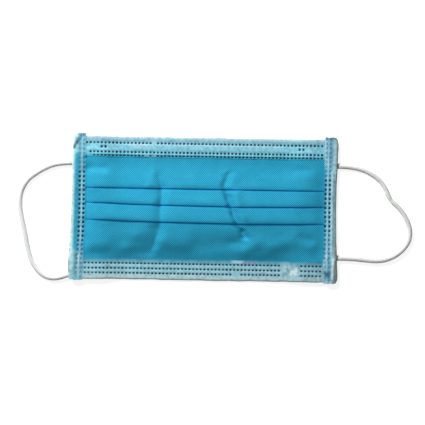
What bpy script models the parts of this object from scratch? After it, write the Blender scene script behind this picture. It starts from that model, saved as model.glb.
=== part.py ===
"""Surgical face mask lying flat on a table, outer face up.

+X runs across the mask to the right, +Y towards the nose edge, +Z up from the table.
The origin is on the table, under the middle of the mask without its ear loops.
Cloth pieces are folded walls: a centre line is drawn in section, given its wall,
and swept across the mask. One relief function lifts them all, so their gaps hold.
"""

import math

import bmesh
import bpy
from mathutils import Vector

# Driving sizes of the flat mask, in metres
OVERALL_WIDTH = 0.1771
OVERALL_HEIGHT = 0.0961
BINDING_OVERHANG_TOP = 0.0014
BINDING_OVERHANG_BOTTOM = 0.0006
PIECE_GAP = 0.0003

# Cloth walls
PANEL_WALL = 0.001
HEM_WALL = 0.001
BINDING_WALL = 0.001

# Pleats, counted down from the nose edge
PLEAT_COUNT = 3
FIRST_FOLD_DROP = 0.0339
PLEAT_SPACING = 0.0111
PLEAT_SLOPE = math.radians(38)

# Hems and the wire in the upper one
TOP_HEM_WIDTH = 0.0133
BOTTOM_HEM_WIDTH = 0.0135
WIRE_LENGTH = 0.110
WIRE_WIDTH = 0.003
WIRE_THICKNESS = 0.0008
WIRE_PLACE = 0.50
RIDGE_SLOPE = 0.0014
RIDGE_RUNOUT = 0.0027

# Side bindings
BINDING_COVER = 0.0101
BINDING_BEND = 0.0016
BINDING_CORNER = 0.002
EDGE_WAVER = 0.005

# Ear loops and their flattened welded ends
CORD_DIAMETER = 0.0032
LOOP_END_LENGTH = 0.009
LOOP_END_WIDTH = 0.0046
LOOP_END_THICKNESS = 0.0012
LOOP_END_CORNER = 0.0012
LOOP_END_SHOWS = 0.001

# Relief of the lying mask
CURL_MARGIN = 0.0015
SWELL_HEIGHT = 0.002
SWELL_RUN = 0.009
CREASE_DEPTH = 0.0016
CREASE_WIDTH = 0.005
FOLD_RISE_LEFT = 0.0011
FOLD_RISE_RIGHT = 0.0005

# Worked out from the sizes above
HALF_WIDTH = OVERALL_WIDTH / 2
HALF_HEIGHT = OVERALL_HEIGHT / 2
HEM_TOP = HALF_HEIGHT - BINDING_OVERHANG_TOP
HEM_BOTTOM = -HALF_HEIGHT + BINDING_OVERHANG_BOTTOM
WIRE_Y = HEM_TOP - WIRE_PLACE * TOP_HEM_WIDTH
WIRE_END = WIRE_LENGTH / 2 + PIECE_GAP
WIRE_RISE = WIRE_THICKNESS + PIECE_GAP
PLEAT_PITCH = PANEL_WALL + PIECE_GAP
PLEAT_BEND = (PLEAT_PITCH + PANEL_WALL) / 2
PLEAT_STACK = 3 * PANEL_WALL + 2 * PIECE_GAP
HEM_STACK = 2 * HEM_WALL + PANEL_WALL + 2 * PIECE_GAP
STACK = max(PLEAT_STACK, HEM_STACK)
RAMP_CLEAR = PLEAT_BEND + PIECE_GAP + PANEL_WALL / 2
RAMP_SPAN = (2 * RAMP_CLEAR - PLEAT_PITCH * math.cos(PLEAT_SLOPE)) / math.sin(PLEAT_SLOPE)
PLEAT_RAMP = RAMP_SPAN - 2 * PLEAT_BEND
PLEAT_DEPTH = PLEAT_SPACING - PLEAT_RAMP
LEVEL_BACK = PANEL_WALL / 2
LEVEL_FRONT = LEVEL_BACK + 2 * PLEAT_PITCH
LEVEL_IN_HEM = HEM_WALL + PIECE_GAP + PANEL_WALL / 2
SIDE_LIFT = CORD_DIAMETER / 2 + LOOP_END_THICKNESS / 2 + BINDING_WALL + 2 * PIECE_GAP
CURL_END = HALF_WIDTH - BINDING_COVER - CURL_MARGIN
CURL_START = WIRE_END + RIDGE_RUNOUT
STACK_INSET = BINDING_WALL / 2 + BINDING_BEND
BEND_STEPS = 3

# Outline of each side binding from tip to tip. height is a share of the half height,
# edge and flap are shares of EDGE_WAVER by which the outer and the inner edge lie inwards.
LEFT_EDGE = [
    {"height": 1.00, "edge": 0.90, "flap": 0.07},
    {"height": 0.91, "edge": 0.74, "flap": 0.07},
    {"height": 0.80, "edge": 0.45, "flap": 0.07},
    {"height": 0.62, "edge": 0.44, "flap": 0.07},
    {"height": 0.30, "edge": 0.36, "flap": 0.07},
    {"height": 0.00, "edge": 0.41, "flap": 0.07},
    {"height": -0.35, "edge": 0.42, "flap": 0.07},
    {"height": -0.60, "edge": 0.18, "flap": 0.03},
    {"height": -0.77, "edge": 0.00, "flap": -0.05},
    {"height": -0.88, "edge": 0.26, "flap": -0.10},
    {"height": -1.00, "edge": 0.50, "flap": -0.13},
]
RIGHT_EDGE = [
    {"height": 1.00, "edge": 0.22, "flap": 0.03},
    {"height": 0.90, "edge": 0.15, "flap": 0.03},
    {"height": 0.70, "edge": 0.20, "flap": 0.02},
    {"height": 0.30, "edge": 0.30, "flap": -0.03},
    {"height": 0.00, "edge": 0.30, "flap": -0.05},
    {"height": -0.35, "edge": 0.24, "flap": -0.12},
    {"height": -0.70, "edge": 0.10, "flap": -0.20},
    {"height": -0.90, "edge": 0.00, "flap": -0.25},
    {"height": -1.00, "edge": 0.04, "flap": -0.27},
]

# Creases down the front. height and across are shares of the half height and half width,
# depth is a share of CREASE_DEPTH.
LEFT_CREASE = [
    {"height": 0.52, "across": -0.356, "depth": 0.0},
    {"height": 0.28, "across": -0.318, "depth": 0.8},
    {"height": 0.14, "across": -0.314, "depth": 1.0},
    {"height": 0.02, "across": -0.321, "depth": 0.9},
    {"height": -0.20, "across": -0.333, "depth": 0.9},
    {"height": -0.42, "across": -0.358, "depth": 0.8},
    {"height": -0.70, "across": -0.400, "depth": 0.0},
]
RIGHT_CREASE = [
    {"height": 0.54, "across": 0.199, "depth": 0.0},
    {"height": 0.37, "across": 0.145, "depth": 0.9},
    {"height": 0.26, "across": 0.151, "depth": 1.0},
    {"height": 0.16, "across": 0.167, "depth": 1.0},
    {"height": 0.02, "across": 0.198, "depth": 0.9},
    {"height": -0.18, "across": 0.248, "depth": 0.7},
    {"height": -0.32, "across": 0.290, "depth": 0.3},
    {"height": -0.46, "across": 0.310, "depth": 0.0},
]

# Shallow dents in the band under the last pleat. across and reach are shares of the
# half width, height and tall of the half height, depth of SWELL_HEIGHT.
DENTS = [
    {"across": -0.50, "height": -0.53, "reach": 0.16, "tall": 0.20, "depth": 0.6},
    {"across": 0.16, "height": -0.39, "reach": 0.16, "tall": 0.16, "depth": 0.5},
    {"across": 0.66, "height": -0.54, "reach": 0.15, "tall": 0.14, "depth": 0.5},
]

# Where each loop's flattened end is welded: height is a share of the half height,
# turn is its angle in degrees from straight outwards.
LOOP_ENDS = [
    {"name": "loop_end_left_upper", "side": -1, "height": 0.595, "turn": 0.0},
    {"name": "loop_end_left_lower", "side": -1, "height": -0.934, "turn": 20.0},
    {"name": "loop_end_right_upper", "side": 1, "height": 0.610, "turn": 0.0},
    {"name": "loop_end_right_lower", "side": 1, "height": -0.650, "turn": 0.0},
]

# Routes of the ear loops on the table, x and y in metres, upper end first
LEFT_ROUTE = [
    (-0.0877, 0.0286), (-0.0921, 0.0283), (-0.0980, 0.0274), (-0.1030, 0.0256),
    (-0.1076, 0.0232), (-0.1118, 0.0204), (-0.1156, 0.0172), (-0.1184, 0.0133),
    (-0.1202, 0.0090), (-0.1210, 0.0044), (-0.1210, -0.0002), (-0.1204, -0.0046),
    (-0.1195, -0.0088), (-0.1185, -0.0132), (-0.1175, -0.0176), (-0.1167, -0.0219),
    (-0.1158, -0.0262), (-0.1147, -0.0305), (-0.1132, -0.0350), (-0.1109, -0.0394),
    (-0.1075, -0.0434), (-0.1034, -0.0463), (-0.0989, -0.0475), (-0.0943, -0.0470),
    (-0.0880, -0.0450),
]
RIGHT_ROUTE = [
    (0.0888, 0.0293), (0.0937, 0.0290), (0.0983, 0.0284), (0.1028, 0.0275),
    (0.1070, 0.0260), (0.1109, 0.0239), (0.1146, 0.0212), (0.1175, 0.0178),
    (0.1197, 0.0141), (0.1214, 0.0102), (0.1238, 0.0067), (0.1276, 0.0033),
    (0.1313, -0.0012), (0.1340, -0.0062), (0.1356, -0.0110), (0.1358, -0.0156),
    (0.1346, -0.0203), (0.1313, -0.0250), (0.1264, -0.0290), (0.1205, -0.0316),
    (0.1143, -0.0325), (0.1086, -0.0323), (0.1036, -0.0318), (0.0990, -0.0315),
    (0.0940, -0.0313), (0.0893, -0.0312),
]
ROUTE_STEPS = 28

# Colours as seen on the pieces, sRGB 0 to 255, with roughness and metallic value
FINISHES = {
    "outer_ply": {"colour": (42, 160, 202), "roughness": 0.85, "metallic": 0.0},
    "hem_ply": {"colour": (146, 205, 223), "roughness": 0.80, "metallic": 0.0},
    "binding_tape": {"colour": (196, 233, 241), "roughness": 0.80, "metallic": 0.0},
    "elastic": {"colour": (236, 236, 232), "roughness": 0.90, "metallic": 0.0},
    "wire": {"colour": (225, 227, 226), "roughness": 0.35, "metallic": 0.0},
}


def clear_scene():
    """Remove every object, so that the script can run in any file."""
    for old in list(bpy.data.objects):
        bpy.data.objects.remove(old, do_unlink=True)


def smooth_step(value):
    """Ease from 0 to 1, level at both ends."""
    value = min(max(value, 0.0), 1.0)
    return value * value * (3 - 2 * value)


def table_value(rows, column, height):
    """Read a column of a table ordered from top to bottom, eased between its rows."""
    if height >= rows[0]["height"]:
        return rows[0][column]
    for upper, lower in zip(rows, rows[1:]):
        if height >= lower["height"]:
            share = (upper["height"] - height) / (upper["height"] - lower["height"])
            return upper[column] + (lower[column] - upper[column]) * smooth_step(share)
    return rows[-1][column]


def edge_rows(side):
    """The outline table of one side, -1 for left and 1 for right."""
    return LEFT_EDGE if side < 0 else RIGHT_EDGE


def edge_x(side, y):
    """Outer edge of a side binding at height y, with its tips rounded off."""
    inset = EDGE_WAVER * table_value(edge_rows(side), "edge", y / HALF_HEIGHT)
    from_tip = max(HALF_HEIGHT - abs(y), 0.0)
    if from_tip < BINDING_CORNER:
        short = BINDING_CORNER - from_tip
        inset += BINDING_CORNER - math.sqrt(BINDING_CORNER ** 2 - short ** 2)
    return side * (HALF_WIDTH - inset)


def flap_x(side, y):
    """Inner edge of a side binding's flaps at height y."""
    inset = EDGE_WAVER * table_value(edge_rows(side), "flap", y / HALF_HEIGHT)
    return side * (HALF_WIDTH - BINDING_COVER - inset)


def stack_end_x(side, y):
    """Where the panel and hems end inside a side binding."""
    return edge_x(side, y) - side * STACK_INSET


def crease_x(rows, y):
    """Run of a crease at height y."""
    return HALF_WIDTH * table_value(rows, "across", y / HALF_HEIGHT)


def curl_share(x):
    """0 over the flat middle of the mask, 1 from the curl's end outwards."""
    return smooth_step((abs(x) - CURL_START) / (CURL_END - CURL_START))


def swell(x, y):
    """Pillow of the pleated field, with its creases and dents."""
    to_hem = min(HEM_TOP - TOP_HEM_WIDTH - y, y - HEM_BOTTOM - BOTTOM_HEM_WIDTH)
    field = smooth_step(to_hem / SWELL_RUN) * (1 - curl_share(x))
    height = SWELL_HEIGHT
    for rows in (LEFT_CREASE, RIGHT_CREASE):
        depth = CREASE_DEPTH * table_value(rows, "depth", y / HALF_HEIGHT)
        height -= depth * math.exp(-abs(x - crease_x(rows, y)) / CREASE_WIDTH)
    for dent in DENTS:
        across = (x / HALF_WIDTH - dent["across"]) / dent["reach"]
        along = (y / HALF_HEIGHT - dent["height"]) / dent["tall"]
        height -= SWELL_HEIGHT * dent["depth"] * math.exp(-across ** 2 - along ** 2)
    return field * max(height, 0.0)


def relief(x, y):
    """Lift of every cloth piece: the side edges lie on the loops' welded ends."""
    return SIDE_LIFT * curl_share(x) + swell(x, y)


def fold_y(number):
    """Height of a visible fold line, counted from 0 at the top."""
    return HEM_TOP - FIRST_FOLD_DROP - number * PLEAT_SPACING


def fold_rise(x, y):
    """The lower folds drift upwards towards the sides."""
    most = FOLD_RISE_LEFT if x < 0 else FOLD_RISE_RIGHT
    first = fold_y(0)
    second = fold_y(1)
    last = fold_y(PLEAT_COUNT - 1)
    above = smooth_step((first - y) / (first - second))
    below = smooth_step((y - HEM_BOTTOM - BOTTOM_HEM_WIDTH) / (last - HEM_BOTTOM - BOTTOM_HEM_WIDTH))
    return most * (x / HALF_WIDTH) ** 2 * above * below


def arc(centre_y, centre_z, radius, start, end):
    """Points of a bend in section, angles in degrees, both ends included."""
    points = []
    for step in range(BEND_STEPS + 1):
        angle = math.radians(start + (end - start) * step / BEND_STEPS)
        points.append((centre_y + radius * math.cos(angle), centre_z + radius * math.sin(angle)))
    return points


def level_run(start_y, end_y, level, pieces):
    """Points of a level stretch in section, without its two ends."""
    return [(start_y + (end_y - start_y) * step / pieces, level) for step in range(1, pieces)]


def ramp_ends(fold):
    """Ends of the ramp under a visible fold, midway between the bends above and below it."""
    middle = fold - PLEAT_RAMP / 2
    reach = PLEAT_PITCH / math.tan(PLEAT_SLOPE)
    return middle + reach, middle - reach


def ridge_height(x):
    """Rise of the cloth over the nose wire, run out past the wire's ends."""
    return WIRE_RISE * (1 - smooth_step((abs(x) - WIRE_END) / RIDGE_RUNOUT))


def ridge_run(level, rise, spread):
    """Section points of the ridge over the wire, from the nose edge down."""
    half_top = WIRE_WIDTH / 2 + PIECE_GAP + spread
    half_foot = half_top + RIDGE_SLOPE
    offsets = [(half_foot, 0.0), (half_top, rise), (-half_top, rise), (-half_foot, 0.0)]
    return [(WIRE_Y + offset, level + lift) for offset, lift in offsets]


def panel_path(ridge):
    """Centre line of the pleated panel in section, from the nose edge down."""
    bend = PLEAT_PITCH / 2
    upper_edge = HEM_TOP - TOP_HEM_WIDTH
    path = [(HEM_TOP - HEM_STACK / 2, LEVEL_IN_HEM)]
    path += ridge_run(LEVEL_IN_HEM, ridge, 0.0)
    path.append((upper_edge, LEVEL_IN_HEM))
    front_start = upper_edge - SWELL_RUN / 2
    for number in range(PLEAT_COUNT):
        fold = fold_y(number)
        bottom = fold + PLEAT_BEND
        top = fold + PLEAT_DEPTH - PLEAT_BEND
        path.append((front_start, LEVEL_FRONT))
        path += level_run(front_start, bottom, LEVEL_FRONT, 4 if number == 0 else 2)
        path += arc(bottom, LEVEL_FRONT - bend, bend, 90, 270)
        path += level_run(bottom, top, LEVEL_BACK + PLEAT_PITCH, 2)
        path += arc(top, LEVEL_BACK + bend, bend, 90, -90)
        ramp_start, front_start = ramp_ends(fold)
        path += level_run(top, ramp_start, LEVEL_BACK, 2)
        path.append((ramp_start, LEVEL_BACK))
    lower_edge = HEM_BOTTOM + BOTTOM_HEM_WIDTH
    back_end = lower_edge + SWELL_RUN / 3
    path += level_run(ramp_start, back_end, LEVEL_BACK, 5)
    end = HEM_BOTTOM + HEM_STACK / 2
    path += [(back_end, LEVEL_BACK), (lower_edge, LEVEL_IN_HEM)]
    path += [((lower_edge + end) / 2, LEVEL_IN_HEM), (end, LEVEL_IN_HEM)]
    return path


def hem_path(outer_y, inner_y, ridge):
    """Centre line of a hem: back flap, bend round the panel's edge, front flap."""
    outward = 1 if outer_y > inner_y else -1
    bend = (HEM_STACK - HEM_WALL) / 2
    centre_y = outer_y - outward * HEM_STACK / 2
    back = HEM_WALL / 2
    front = HEM_STACK - HEM_WALL / 2
    path = [(inner_y, back), ((inner_y + centre_y) / 2, back)]
    turn = 180 if outward > 0 else -180
    path += arc(centre_y, back + bend, bend, -90, -90 + turn)
    if ridge is None:
        path.append(((inner_y + centre_y) / 2, front))
    else:
        slope = math.atan2(WIRE_RISE, RIDGE_SLOPE)
        path += ridge_run(front, ridge, (HEM_WALL + PIECE_GAP) * math.tan(slope / 2))
    path.append((inner_y, front))
    return path


def binding_path(side, y):
    """Centre line of a side binding in section, x and z: back flap, bend, front flap."""
    back = -PIECE_GAP - BINDING_WALL / 2
    front = STACK + PIECE_GAP + BINDING_WALL / 2
    inner = flap_x(side, y)
    centre = stack_end_x(side, y)
    if side > 0:
        lower = arc(centre, back + BINDING_BEND, BINDING_BEND, -90, 0)
        upper = arc(centre, front - BINDING_BEND, BINDING_BEND, 0, 90)
    else:
        lower = arc(centre, back + BINDING_BEND, BINDING_BEND, -90, -180)
        upper = arc(centre, front - BINDING_BEND, BINDING_BEND, 180, 90)
    return [(inner, back)] + lower + upper + [(inner, front)]


def wall_sides(path, wall):
    """Both faces of a wall of even thickness along a centre line in section."""
    points = [Vector(point) for point in path]
    left = []
    right = []
    for index, point in enumerate(points):
        before = points[max(index - 1, 0)]
        after = points[min(index + 1, len(points) - 1)]
        enter = (point - before).normalized() if index > 0 else (after - point).normalized()
        leave = (after - point).normalized() if index < len(points) - 1 else enter
        normal = Vector((-enter.y - leave.y, enter.x + leave.x)).normalized()
        reach = wall / 2 / normal.dot(Vector((-enter.y, enter.x)))
        left.append(point + normal * reach)
        right.append(point - normal * reach)
    return left, right


def folded_wall(name, paths, wall, place):
    """Sweep wall sections into one closed body; place turns a section point into 3-D."""
    mesh = bmesh.new()
    rings = []
    for station, path in enumerate(paths):
        left, right = wall_sides(path, wall)
        left_row = [mesh.verts.new(place(station, *point)) for point in left]
        right_row = [mesh.verts.new(place(station, *point)) for point in right]
        rings.append((left_row, right_row))
    count = len(paths[0])
    for (left_a, right_a), (left_b, right_b) in zip(rings, rings[1:]):
        for index in range(count - 1):
            mesh.faces.new((left_a[index], left_a[index + 1], left_b[index + 1], left_b[index]))
            mesh.faces.new((right_a[index], right_b[index], right_b[index + 1], right_a[index + 1]))
        mesh.faces.new((left_a[0], left_b[0], right_b[0], right_a[0]))
        mesh.faces.new((left_a[-1], right_a[-1], right_b[-1], left_b[-1]))
    for left_row, right_row in (rings[0], rings[-1]):
        for index in range(count - 1):
            mesh.faces.new((left_row[index], right_row[index], right_row[index + 1], left_row[index + 1]))
    bmesh.ops.recalc_face_normals(mesh, faces=mesh.faces)
    return mesh_object(name, mesh)


def mesh_object(name, mesh):
    """Turn a bmesh into a named object, smooth but for its sharp edges."""
    data = bpy.data.meshes.new(name)
    mesh.to_mesh(data)
    mesh.free()
    data.shade_smooth()
    data.set_sharp_from_angle(angle=math.radians(40))
    piece = bpy.data.objects.new(name, data)
    bpy.context.scene.collection.objects.link(piece)
    return piece


def column_places(y):
    """x of the sweep's columns at height y, close together at the creases and curls."""
    left_crease = crease_x(LEFT_CREASE, y)
    right_crease = crease_x(RIGHT_CREASE, y)
    stretches = [
        (stack_end_x(-1, y), -CURL_END, [1.0]),
        (-CURL_END, -CURL_START, [0.25, 0.5, 0.75, 1.0]),
        (-CURL_START, -WIRE_END, [1.0]),
        (-WIRE_END, left_crease, [0.5, 0.87, 1.0]),
        (left_crease, right_crease, [0.07, 0.25, 0.5, 0.75, 0.93, 1.0]),
        (right_crease, WIRE_END, [0.07, 0.25, 0.56, 1.0]),
        (WIRE_END, CURL_START, [1.0]),
        (CURL_START, CURL_END, [0.25, 0.5, 0.75, 1.0]),
        (CURL_END, stack_end_x(1, y), [1.0]),
    ]
    places = [stretches[0][0]]
    for start, end, shares in stretches:
        places += [start + (end - start) * share for share in shares]
    return places


def place_across(station, y, level):
    """Place a section point of the panel or a hem on its column."""
    x = column_places(y)[station]
    return (x, y + fold_rise(x, y), level + relief(x, y))


def build_panel():
    """The pleated laminate, one folded wall from hem to hem."""
    paths = [panel_path(ridge_height(x)) for x in column_places(WIRE_Y)]
    return folded_wall("pleated_panel", paths, PANEL_WALL, place_across)


def build_top_hem():
    """Upper hem, raised along the wire that it holds."""
    paths = [hem_path(HEM_TOP, HEM_TOP - TOP_HEM_WIDTH, ridge_height(x)) for x in column_places(WIRE_Y)]
    return folded_wall("top_hem", paths, HEM_WALL, place_across)


def build_bottom_hem():
    """Lower hem, the same fold without a wire."""
    columns = len(column_places(0.0))
    path = hem_path(HEM_BOTTOM, HEM_BOTTOM + BOTTOM_HEM_WIDTH, None)
    return folded_wall("bottom_hem", [path] * columns, HEM_WALL, place_across)


def build_binding(side):
    """Tape folded over one side edge of the panel and hems."""
    heights = [row["height"] * HALF_HEIGHT for row in edge_rows(side)]
    stations = [heights[0], heights[0] - BINDING_CORNER / 4, heights[0] - BINDING_CORNER]
    for upper, lower in zip(heights[1:], heights[2:]):
        stations += [upper, (upper + lower) / 2]
    stations[-1:] = [heights[-1] + BINDING_CORNER, heights[-1] + BINDING_CORNER / 4, heights[-1]]
    paths = [binding_path(side, y) for y in stations]

    def place_along(station, x, level):
        return (x, stations[station], level + SIDE_LIFT)

    name = "side_binding_left" if side < 0 else "side_binding_right"
    return folded_wall(name, paths, BINDING_WALL, place_along)


def rounded_slab(name, length, width, thickness, corner):
    """Flat slab along X from the origin outwards, with rounded upright edges."""
    mesh = bmesh.new()
    bmesh.ops.create_cube(mesh, size=1.0)
    for vert in mesh.verts:
        vert.co = Vector(((vert.co.x + 0.5) * length, vert.co.y * width, vert.co.z * thickness))
    upright = [edge for edge in mesh.edges if abs(edge.verts[0].co.z - edge.verts[1].co.z) > thickness / 2]
    bmesh.ops.bevel(mesh, geom=upright, offset=corner, segments=3, affect="EDGES", profile=0.5)
    return mesh_object(name, mesh)


def build_wire():
    """Flat nose wire in the upper hem, between its back flap and the panel."""
    wire = rounded_slab("nose_wire", WIRE_LENGTH, WIRE_WIDTH, WIRE_THICKNESS, WIRE_WIDTH / 3)
    level = HEM_WALL + PIECE_GAP + WIRE_THICKNESS / 2
    wire.location = (-WIRE_LENGTH / 2, WIRE_Y, level)
    return wire


def build_loop_end(row):
    """Flattened end of an ear loop, welded under a side binding."""
    slab = rounded_slab(row["name"], LOOP_END_LENGTH, LOOP_END_WIDTH, LOOP_END_THICKNESS, LOOP_END_CORNER)
    y = row["height"] * HALF_HEIGHT
    turn = math.radians(row["turn"]) * -row["side"]
    inwards = Vector((-row["side"] * math.cos(turn), math.sin(abs(turn)), 0.0))
    outer = Vector((edge_x(row["side"], y) + row["side"] * LOOP_END_SHOWS, y, CORD_DIAMETER / 2))
    slab.location = outer
    slab.rotation_euler.z = math.atan2(inwards.y, inwards.x)
    return slab


def smooth_route(route, steps):
    """Evenly spread points on a smooth curve through a route's own points."""
    fine = []
    last = len(route) - 1
    for index in range(last):
        before = Vector(route[max(index - 1, 0)])
        start = Vector(route[index])
        end = Vector(route[index + 1])
        after = Vector(route[min(index + 2, last)])
        for share in (0.0, 0.25, 0.5, 0.75):
            curve = start * 2 + (end - before) * share
            curve += (before * 2 - start * 5 + end * 4 - after) * share ** 2
            curve += (start * 3 - before - end * 3 + after) * share ** 3
            fine.append(curve / 2)
    fine.append(Vector(route[-1]))
    lengths = [0.0]
    for start, end in zip(fine, fine[1:]):
        lengths.append(lengths[-1] + (end - start).length)
    points = []
    for step in range(steps + 1):
        goal = lengths[-1] * step / steps
        index = min(sum(1 for length in lengths if length <= goal), len(fine) - 1)
        share = (goal - lengths[index - 1]) / (lengths[index] - lengths[index - 1])
        points.append(fine[index - 1].lerp(fine[index], share))
    return points


def build_ear_loop(name, route):
    """Elastic cord lying on the table from one welded end to the other."""
    curve = bpy.data.curves.new(name, "CURVE")
    curve.dimensions = "3D"
    curve.bevel_depth = CORD_DIAMETER / 2
    curve.bevel_resolution = 2
    curve.use_fill_caps = True
    spline = curve.splines.new("POLY")
    points = smooth_route(route, ROUTE_STEPS)
    spline.points.add(len(points) - 1)
    for slot, point in zip(spline.points, points):
        slot.co = (point.x, point.y, CORD_DIAMETER / 2, 1.0)
    piece = bpy.data.objects.new(name, curve)
    bpy.context.scene.collection.objects.link(piece)
    return piece


def to_linear(value):
    """sRGB 0 to 255 as a linear 0 to 1 value."""
    share = value / 255
    return share / 12.92 if share <= 0.04045 else ((share + 0.055) / 1.055) ** 2.4


def give_material(piece, finish_name):
    """Give a piece a material of its own in one of the finishes."""
    finish = FINISHES[finish_name]
    material = bpy.data.materials.new(piece.name + "_" + finish_name)
    material.use_nodes = True
    shader = material.node_tree.nodes["Principled BSDF"]
    colour = [to_linear(value) for value in finish["colour"]]
    shader.inputs["Base Color"].default_value = (*colour, 1.0)
    shader.inputs["Roughness"].default_value = finish["roughness"]
    shader.inputs["Metallic"].default_value = finish["metallic"]
    piece.data.materials.append(material)


def main():
    clear_scene()
    give_material(build_panel(), "outer_ply")
    give_material(build_top_hem(), "hem_ply")
    give_material(build_bottom_hem(), "hem_ply")
    give_material(build_wire(), "wire")
    for side in (-1, 1):
        give_material(build_binding(side), "binding_tape")
    for row in LOOP_ENDS:
        give_material(build_loop_end(row), "elastic")
    give_material(build_ear_loop("ear_loop_left", LEFT_ROUTE), "elastic")
    give_material(build_ear_loop("ear_loop_right", RIGHT_ROUTE), "elastic")


main()
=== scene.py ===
"""Surgical face mask lying flat with its blue face up, dressed over its CAD frame."""

import bisect
import math

import bmesh
import bpy
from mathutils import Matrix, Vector, noise


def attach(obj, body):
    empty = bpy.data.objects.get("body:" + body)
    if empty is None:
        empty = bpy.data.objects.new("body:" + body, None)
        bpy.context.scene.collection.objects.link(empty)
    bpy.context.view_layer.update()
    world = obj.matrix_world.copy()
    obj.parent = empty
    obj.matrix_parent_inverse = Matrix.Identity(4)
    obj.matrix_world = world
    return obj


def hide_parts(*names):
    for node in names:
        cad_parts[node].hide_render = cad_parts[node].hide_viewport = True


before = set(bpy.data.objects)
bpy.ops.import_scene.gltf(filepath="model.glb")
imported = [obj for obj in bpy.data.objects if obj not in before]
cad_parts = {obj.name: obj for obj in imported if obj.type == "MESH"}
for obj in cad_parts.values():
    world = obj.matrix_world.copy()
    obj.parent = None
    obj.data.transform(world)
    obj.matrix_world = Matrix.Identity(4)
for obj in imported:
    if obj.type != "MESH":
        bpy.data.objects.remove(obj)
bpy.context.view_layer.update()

# Sizes in millimetres unless a line says otherwise. Pieces are modelled in millimetres
# and brought to metres in their mesh at the end.
MILLIMETRE = 0.001
# Half the height of the bindings, and the outer edges of the two hems
HALF_HEIGHT = 48.05
NOSE_EDGE = 46.65
CHIN_EDGE = -47.45

# Camera, its height over the mask's face, and light
CAMERA_PLACE = (5.85, -2.59)
CAMERA_HEIGHT = 650.0
FACE_LEVEL = 3.0
FRAME_WIDTH = 279.0
CAMERA_TURN = 1.0
KEY_PLACE = (-330.0, 560.0, 400.0)
KEY_SIZE = 300.0
KEY_POWER = 9.5
FILL_STRENGTH = 0.22
TABLE_GLOW = 0.72

# Cloth walls and the heights of their stack over the table
PLY_WALL = 0.2
PLY_OFFSET = 0.12
TAPE_WALL = 0.22
LOWEST = 0.2
LOWEST_EDGE = 0.15
HEM_BACK = 0.2
HEM_FRONT = 2.0
LAMINATE_IN_HEM = 1.05
LIP_LEVEL = 2.75

# Bound sides, by distance from the middle: share of their height that the layers keep
# there, and lift of the sides over the table
SIDE_PRESS = 0.5
PRESS_START = 62.0
PRESS_RUN = 17.0
SIDE_LIFT = 2.5
LIFT_START = 52.0
LIFT_END = 70.0
SIDE_END = 88.0
# Rise of the shoulder beside the left and the right binding, in the pleated field only
SHOULDER_RISES = {-1: 1.9, 1: 0.8}
SHOULDER_START = 71.5
SHOULDER_RUN = 7.0
PLEATED_TOP = 30.0
PLEATED_BOTTOM = -31.0
PLEATED_RUN = 8.0

# Visible fold lines from the nose edge down, and one pleat in section. Each point of
# the section is its distance above the fold line and its height against the lip.
FOLDS = (12.75, 1.65, -9.45)
PLEAT_SECTION = (
    (6.0, -0.56), (4.5, -0.37), (3.2, -0.24), (2.2, -0.20), (1.5, -0.23), (0.9, -0.31),
    (0.45, -0.42), (0.12, -0.56), (0.0, -0.68), (0.12, -0.80), (0.45, -0.89), (1.2, -0.90),
    (2.5, -0.97), (5.0, -1.23), (8.0, -1.60), (8.45, -1.69), (8.75, -1.96), (8.45, -2.22),
    (8.0, -2.25), (5.0, -1.88), (2.5, -1.57), (0.0, -1.36),
)
# Drift of the lower folds up or down, by place across the mask
FOLD_DRIFT = (
    (-88.0, 1.7), (-68.0, 1.2), (-44.0, 0.5), (-28.0, 0.2), (0.0, 0.0), (24.0, -0.25),
    (44.0, 0.0), (60.0, 0.2), (76.0, 0.55), (88.0, 0.8),
)
DRIFT_RUN = 22.0

# Relief of the lying mask: the pillow of its field, and where soft bends begin
CHIN_FIELD = CHIN_EDGE + 13.5
SWELL_HEIGHT = 3.2
SWELL_TOP = 30.5
SWELL_RUN_NOSE = 38.0
SWELL_RUN_CHIN = 25.0
SOFT_TOP = 32.5
SOFT_RUN = 8.0
CREASE_DEPTH = 2.6
# Creases from top to bottom: height, place across, share of the depth, and how wide
# their left and right flanks are
LEFT_CREASE = (
    (25.5, -31.0, 0.0, 3.0, 5.0), (19.0, -29.6, 0.6, 4.5, 6.0), (13.5, -28.0, 1.0, 6.0, 7.0),
    (6.7, -27.8, 1.0, 5.5, 7.0), (1.0, -28.4, 1.0, 6.5, 7.0), (-10.0, -28.8, 0.6, 7.0, 9.0),
    (-15.0, -29.4, 0.9, 13.0, 8.0), (-24.0, -31.7, 1.0, 20.0, 6.0), (-30.0, -33.9, 0.9, 24.0, 6.0),
    (-34.5, -36.0, 0.0, 24.0, 6.0),
)
RIGHT_CREASE = (
    (26.5, 17.8, 0.0, 3.0, 5.0), (21.0, 15.1, 0.6, 4.5, 5.5), (14.5, 13.1, 0.7, 4.5, 6.0),
    (11.0, 14.2, 0.9, 4.0, 7.0), (7.0, 15.5, 1.5, 3.6, 8.0), (2.5, 17.2, 1.5, 3.6, 7.0),
    (-3.0, 19.2, 1.5, 3.6, 7.0), (-8.6, 21.9, 1.4, 4.0, 6.0), (-11.5, 23.6, 1.3, 5.5, 5.0),
    (-14.5, 25.6, 2.0, 4.5, 4.5), (-18.0, 27.1, 1.5, 5.0, 5.0), (-21.0, 28.2, 0.0, 6.0, 6.0),
)
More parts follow.
